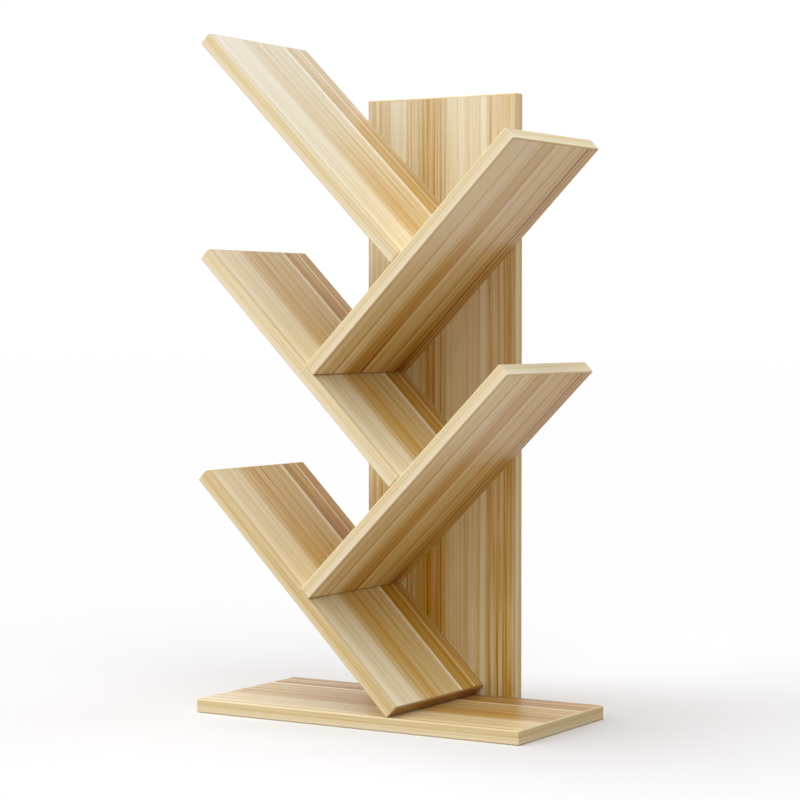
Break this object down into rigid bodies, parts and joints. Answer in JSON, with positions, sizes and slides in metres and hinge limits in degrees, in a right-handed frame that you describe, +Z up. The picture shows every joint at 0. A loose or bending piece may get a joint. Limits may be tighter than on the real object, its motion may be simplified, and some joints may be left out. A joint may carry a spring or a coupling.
{
  "type": "tree bookcase",
  "caption": "Tree-shaped bookcase: slanting shelves lean on each other in a zigzag before an upright back board, holding books in V-shaped bays over a flat base.",
  "frame": {"origin": "middle of the bookcase's footprint, on the floor", "axes": "+Z up, +Y towards the back board's rear face, +X to the right seen from the front"},
  "size_m": [0.4, 0.205, 0.7365],
  "materials": {
    "wood_print_board": "particle board faced with satin striped light wood print",
    "edge_band": "satin plastic edge band with a lengthwise streaked wood print",
    "screw_steel": "bright zinc plated steel with a hexagon socket",
    "dowel_wood": "ridged beech, unfinished"
  },
  "bodies": {
    "root": {"base_board": "wood_print_board", "base_board_front_band": "edge_band", "base_board_rear_band": "edge_band", "base_board_left_band": "edge_band", "base_board_right_band": "edge_band", "back_board": "wood_print_board", "back_board_left_band": "edge_band", "back_board_right_band": "edge_band", "back_board_bottom_band": "edge_band", "back_board_top_band": "edge_band", "left_bottom_shelf": "wood_print_board", "left_bottom_shelf_front_band": "edge_band", "left_bottom_shelf_rear_band": "edge_band", "left_bottom_shelf_upper_band": "edge_band", "left_bottom_shelf_lower_band": "edge_band", "right_bottom_shelf": "wood_print_board", "right_bottom_shelf_front_band": "edge_band", "right_bottom_shelf_rear_band": "edge_band", "right_bottom_shelf_upper_band": "edge_band", "right_bottom_shelf_lower_band": "edge_band", "left_middle_shelf": "wood_print_board", "left_middle_shelf_front_band": "edge_band", "left_middle_shelf_rear_band": "edge_band", "left_middle_shelf_upper_band": "edge_band", "left_middle_shelf_lower_band": "edge_band", "right_top_shelf": "wood_print_board", "right_top_shelf_front_band": "edge_band", "right_top_shelf_rear_band": "edge_band", "right_top_shelf_upper_band": "edge_band", "right_top_shelf_lower_band": "edge_band", "left_top_shelf": "wood_print_board", "left_top_shelf_front_band": "edge_band", "left_top_shelf_rear_band": "edge_band", "left_top_shelf_upper_band": "edge_band", "left_top_shelf_lower_band": "edge_band", "base_screws": "screw_steel", "left_bottom_shelf_screws": "screw_steel", "right_bottom_shelf_screws": "screw_steel", "left_middle_shelf_screws": "screw_steel", "right_top_shelf_screws": "screw_steel", "left_top_shelf_screws": "screw_steel", "right_bottom_shelf_dowel": "dowel_wood", "left_middle_shelf_dowel": "dowel_wood", "right_top_shelf_dowel": "dowel_wood", "left_top_shelf_dowel": "dowel_wood"}
  },
  "joints": []
}
